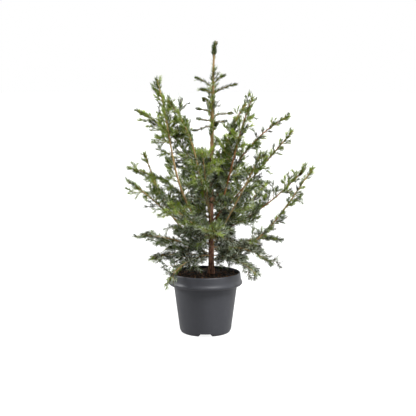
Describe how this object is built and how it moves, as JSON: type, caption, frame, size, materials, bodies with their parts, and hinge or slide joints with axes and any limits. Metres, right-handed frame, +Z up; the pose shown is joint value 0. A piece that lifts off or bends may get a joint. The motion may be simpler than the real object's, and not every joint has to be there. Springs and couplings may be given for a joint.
{
  "type": "potted serbian spruce",
  "caption": "Young Serbian spruce with an upright leader and rising, needled boughs, rooted in soil in a round dark grey nursery pot with a rolled collar.",
  "frame": {"origin": "centre of the pot's flat underside, at floor level", "axes": "+Z up along the pot's axis, +X to the viewer's right and +Y away from the viewer"},
  "size_m": [0.5851, 0.4959, 0.9013],
  "materials": {
    "pot_plastic": "moulded dark grey polypropylene with a satin surface",
    "soil": "moist dark potting compost with bark crumbs",
    "bark": "thin red-brown bark, tan on the younger limbs",
    "needles": "short flat spruce needles, deep green above, blue-grey below, lime at the young tips"
  },
  "bodies": {
    "root": {"pot": "pot_plastic", "soil": "soil", "trunk": "bark", "bough_left_tall": "bark", "bough_left_inner": "bark", "bough_left_high": "bark", "bough_left_out": "bark", "bough_right_tall": "bark", "bough_right_inner": "bark", "bough_right_high": "bark", "bough_right_out": "bark", "bough_right_front": "bark", "bough_right_far": "bark", "bough_right_far_low": "bark", "bough_back_left_tall": "bark", "bough_back_right_tall": "bark", "bough_back_left": "bark", "bough_back_right": "bark", "mass_left_tall": "needles", "mass_left_inner": "needles", "mass_left_high": "needles", "mass_left_out": "needles", "mass_right_tall": "needles", "mass_right_inner": "needles", "mass_right_high": "needles", "mass_right_out": "needles", "mass_right_front": "needles", "mass_right_far": "needles", "mass_right_far_low": "needles", "mass_back_left_tall": "needles", "mass_back_right_tall": "needles", "mass_back_left": "needles", "mass_back_right": "needles", "mass_left_wide": "needles", "mass_left_mid": "needles", "mass_left_low": "needles", "mass_left_skirt": "needles", "mass_left_front_skirt": "needles", "mass_right_low": "needles", "mass_right_skirt": "needles", "mass_right_front_skirt": "needles", "mass_front_steep": "needles", "mass_front_mid": "needles", "mass_front_left": "needles", "mass_back_mid": "needles", "mass_back_low": "needles", "mass_back_left_skirt": "needles", "mass_back_right_skirt": "needles", "mass_leader_tip": "needles", "mass_leader_twig_1": "needles", "mass_leader_twig_2": "needles", "mass_leader_twig_3": "needles", "mass_leader_twig_4": "needles", "mass_leader_twig_5": "needles", "mass_leader_twig_6": "needles", "mass_leader_twig_7": "needles", "mass_leader_twig_8": "needles", "mass_leader_twig_9": "needles", "mass_leader_twig_10": "needles", "mass_leader_twig_11": "needles"}
  },
  "joints": []
}
